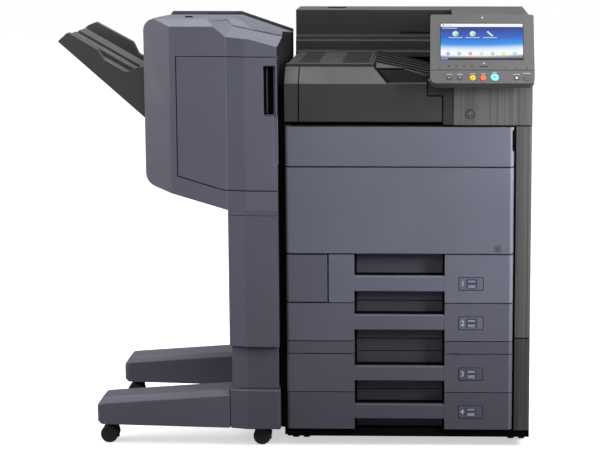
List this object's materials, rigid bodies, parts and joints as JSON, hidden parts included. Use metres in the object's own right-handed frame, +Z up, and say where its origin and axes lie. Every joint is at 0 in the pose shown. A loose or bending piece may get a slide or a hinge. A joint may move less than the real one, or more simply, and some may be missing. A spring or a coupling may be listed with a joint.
{
  "type": "photocopier",
  "caption": "Floor-standing A3 office copier with paper drawers, tilting touch panel and a docked finisher with a stacking tray.",
  "frame": {"origin": "middle of the footprint at floor level", "axes": "+X to the right seen from the front, +Y to the back, +Z up"},
  "size_m": [1.1725, 0.66, 1.0753],
  "materials": {
    "slate_covers": "fine-grained slate blue-grey moulded plastic",
    "charcoal_covers": "fine-grained charcoal moulded plastic",
    "streaked_plates": "grey plastic with fine upright streaks",
    "steel_frame": "dark painted sheet steel",
    "steel_parts": "plated sheet steel",
    "caster_rubber": "matt black",
    "panel_plastic": "satin mid grey",
    "touch_glass": "glossy display glass, lit blue",
    "yellow_key": "satin",
    "orange_key": "satin",
    "cyan_key": "satin"
  },
  "bodies": {
    "machine": {"left_side_cover": "slate_covers", "mid_trim": "slate_covers", "finisher_body": "slate_covers", "finisher_column": "slate_covers", "column_sleeve": "slate_covers", "base_beam": "slate_covers", "front_foot": "slate_covers", "rear_foot": "slate_covers", "bridge_front_cover": "charcoal_covers", "bridge_unit": "charcoal_covers", "rear_housing": "charcoal_covers", "tower_housing": "charcoal_covers", "imaging_unit": "charcoal_covers", "toner_rack": "charcoal_covers", "output_tray": "charcoal_covers", "right_column": "streaked_plates", "tower_front_plate": "streaked_plates", "base_plinth": "steel_frame", "main_frame": "steel_frame", "fuser_unit": "steel_parts", "stapler_unit": "steel_parts"},
    "front_door": {"front_door": "slate_covers"},
    "upper_front_cover": {"upper_front_cover": "slate_covers"},
    "switch_cover": {"switch_cover": "slate_covers"},
    "upper_right_door": {"upper_right_door": "slate_covers"},
    "lower_right_door": {"lower_right_door": "slate_covers"},
    "bypass": {"bypass_tray": "slate_covers"},
    "bridge_lid": {"bridge_lid": "charcoal_covers"},
    "touch_panel": {"panel_housing": "panel_plastic", "touch_screen": "touch_glass"},
    "power_button": {"power_button": "streaked_plates"},
    "finisher_door": {"finisher_door": "slate_covers"},
    "finisher_top_cover": {"finisher_top_cover": "slate_covers"},
    "stacking_tray": {"stacking_tray": "charcoal_covers"},
    "key_program": {"key_program": "panel_plastic"},
    "key_home": {"key_home": "panel_plastic"},
    "key_reset": {"key_reset": "yellow_key"},
    "key_stop": {"key_stop": "orange_key"},
    "key_start": {"key_start": "cyan_key"},
    "key_login": {"key_login": "panel_plastic"},
    "drawer_1": {"drawer_1_front": "slate_covers", "drawer_1_tray": "steel_parts"},
    "finisher_fork_1": {"finisher_fork_1": "steel_parts"},
    "finisher_wheel_1": {"finisher_wheel_1": "caster_rubber"},
    "main_wheel_1": {"main_wheel_1": "caster_rubber"},
    "drawer_2": {"drawer_2_front": "slate_covers", "drawer_2_tray": "steel_parts"},
    "finisher_fork_2": {"finisher_fork_2": "steel_parts"},
    "finisher_wheel_2": {"finisher_wheel_2": "caster_rubber"},
    "main_wheel_2": {"main_wheel_2": "caster_rubber"},
    "drawer_3": {"drawer_3_front": "slate_covers", "drawer_3_tray": "steel_parts"},
    "finisher_fork_3": {"finisher_fork_3": "steel_parts"},
    "finisher_wheel_3": {"finisher_wheel_3": "caster_rubber"},
    "main_wheel_3": {"main_wheel_3": "caster_rubber"},
    "drawer_4": {"drawer_4_front": "slate_covers", "drawer_4_tray": "steel_parts"},
    "finisher_fork_4": {"finisher_fork_4": "steel_parts"},
    "finisher_wheel_4": {"finisher_wheel_4": "caster_rubber"},
    "main_wheel_4": {"main_wheel_4": "caster_rubber"}
  },
  "joints": [
    {"name": "drawer_1_slide", "type": "slide", "parent": "machine", "child": "drawer_1", "axis": [0, -1, 0], "range_m": [0, 0.42]},
    {"name": "drawer_2_slide", "type": "slide", "parent": "machine", "child": "drawer_2", "axis": [0, -1, 0], "range_m": [0, 0.42]},
    {"name": "drawer_3_slide", "type": "slide", "parent": "machine", "child": "drawer_3", "axis": [0, -1, 0], "range_m": [0, 0.42]},
    {"name": "drawer_4_slide", "type": "slide", "parent": "machine", "child": "drawer_4", "axis": [0, -1, 0], "range_m": [0, 0.42]},
    {"name": "front_door_hinge", "type": "hinge", "parent": "machine", "child": "front_door", "pos_m": [0.2622, -0.27, 0.4925], "axis": [1, 0, 0], "range_deg": [0, 90]},
    {"name": "upper_front_cover_hinge", "type": "hinge", "parent": "machine", "child": "upper_front_cover", "pos_m": [0.2622, -0.27, 0.7085], "axis": [1, 0, 0], "range_deg": [0, 90]},
    {"name": "switch_cover_hinge", "type": "hinge", "parent": "machine", "child": "switch_cover", "pos_m": [-0.0178, -0.27, 0.43], "axis": [0, 0, -1], "range_deg": [0, 100]},
    {"name": "upper_right_door_hinge", "type": "hinge", "parent": "machine", "child": "upper_right_door", "pos_m": [0.5842, 0.315, 0.541], "axis": [0, 0, 1], "range_deg": [0, 75]},
    {"name": "lower_right_door_hinge", "type": "hinge", "parent": "machine", "child": "lower_right_door", "pos_m": [0.5842, 0.315, 0.16], "axis": [0, 0, 1], "range_deg": [0, 75]},
    {"name": "bypass_tray_hinge", "type": "hinge", "parent": "upper_right_door", "child": "bypass", "pos_m": [0.5838, 0.02, 0.557], "axis": [0, 1, 0], "range_deg": [0, 70]},
    {"name": "bridge_lid_hinge", "type": "hinge", "parent": "machine", "child": "bridge_lid", "pos_m": [0.0892, 0.138, 0.9385], "axis": [-1, 0, 0], "range_deg": [0, 70]},
    {"name": "panel_tilt", "type": "hinge", "parent": "machine", "child": "touch_panel", "pos_m": [0.4612, -0.24773, 0.97565], "axis": [1, 0, 0], "range_deg": [-15, 20]},
    {"name": "key_program_press", "type": "slide", "parent": "touch_panel", "child": "key_program", "axis": [0, 0.841, -0.541], "range_m": [0, 0.001], "stiffness_N_per_m": 200},
    {"name": "key_home_press", "type": "slide", "parent": "touch_panel", "child": "key_home", "axis": [0, 0.841, -0.541], "range_m": [0, 0.001], "stiffness_N_per_m": 200},
    {"name": "key_reset_press", "type": "slide", "parent": "touch_panel", "child": "key_reset", "axis": [0, 0.841, -0.541], "range_m": [0, 0.001], "stiffness_N_per_m": 200},
    {"name": "key_stop_press", "type": "slide", "parent": "touch_panel", "child": "key_stop", "axis": [0, 0.841, -0.541], "range_m": [0, 0.001], "stiffness_N_per_m": 200},
    {"name": "key_start_press", "type": "slide", "parent": "touch_panel", "child": "key_start", "axis": [0, 0.841, -0.541], "range_m": [0, 0.001], "stiffness_N_per_m": 200},
    {"name": "key_login_press", "type": "slide", "parent": "touch_panel", "child": "key_login", "axis": [0, 0.841, -0.541], "range_m": [0, 0.001], "stiffness_N_per_m": 200},
    {"name": "power_button_press", "type": "slide", "parent": "machine", "child": "power_button", "axis": [0, 1, 0], "range_m": [0, 0.001], "stiffness_N_per_m": 200},
    {"name": "finisher_door_hinge", "type": "hinge", "parent": "machine", "child": "finisher_door", "pos_m": [-0.2798, -0.27, 0.812], "axis": [0, 0, -1], "range_deg": [0, 100]},
    {"name": "finisher_top_cover_hinge", "type": "hinge", "parent": "machine", "child": "finisher_top_cover", "pos_m": [-0.1478, 0.227, 1.046], "axis": [-1, 0, 0], "range_deg": [0, 60]},
    {"name": "stacking_tray_lift", "type": "slide", "parent": "machine", "child": "stacking_tray", "axis": [0, 0, -1], "range_m": [0, 0.14]},
    {"name": "finisher_fork_1_swivel", "type": "hinge", "parent": "machine", "child": "finisher_fork_1", "pos_m": [-0.4548, -0.22, 0.046], "axis": [0, 0, 1], "continuous": true},
    {"name": "finisher_wheel_1_roll", "type": "hinge", "parent": "finisher_fork_1", "child": "finisher_wheel_1", "pos_m": [-0.4688, -0.22, 0.022], "axis": [0, 1, 0], "continuous": true},
    {"name": "finisher_fork_2_swivel", "type": "hinge", "parent": "machine", "child": "finisher_fork_2", "pos_m": [-0.0688, -0.23, 0.046], "axis": [0, 0, 1], "continuous": true},
    {"name": "finisher_wheel_2_roll", "type": "hinge", "parent": "finisher_fork_2", "child": "finisher_wheel_2", "pos_m": [-0.0828, -0.23, 0.022], "axis": [0, 1, 0], "continuous": true},
    {"name": "finisher_fork_3_swivel", "type": "hinge", "parent": "machine", "child": "finisher_fork_3", "pos_m": [-0.4548, 0.188, 0.046], "axis": [0, 0, 1], "continuous": true},
    {"name": "finisher_wheel_3_roll", "type": "hinge", "parent": "finisher_fork_3", "child": "finisher_wheel_3", "pos_m": [-0.4688, 0.188, 0.022], "axis": [0, 1, 0], "continuous": true},
    {"name": "finisher_fork_4_swivel", "type": "hinge", "parent": "machine", "child": "finisher_fork_4", "pos_m": [-0.0688, 0.188, 0.046], "axis": [0, 0, 1], "continuous": true},
    {"name": "finisher_wheel_4_roll", "type": "hinge", "parent": "finisher_fork_4", "child": "finisher_wheel_4", "pos_m": [-0.0828, 0.188, 0.022], "axis": [0, 1, 0], "continuous": true},
    {"name": "main_wheel_1_roll", "type": "hinge", "parent": "machine", "child": "main_wheel_1", "pos_m": [0.0112, -0.18, 0.02], "axis": [1, 0, 0], "continuous": true},
    {"name": "main_wheel_2_roll", "type": "hinge", "parent": "machine", "child": "main_wheel_2", "pos_m": [0.5552, -0.18, 0.02], "axis": [1, 0, 0], "continuous": true},
    {"name": "main_wheel_3_roll", "type": "hinge", "parent": "machine", "child": "main_wheel_3", "pos_m": [0.0112, 0.25, 0.02], "axis": [1, 0, 0], "continuous": true},
    {"name": "main_wheel_4_roll", "type": "hinge", "parent": "machine", "child": "main_wheel_4", "pos_m": [0.5552, 0.25, 0.02], "axis": [1, 0, 0], "continuous": true}
  ]
}
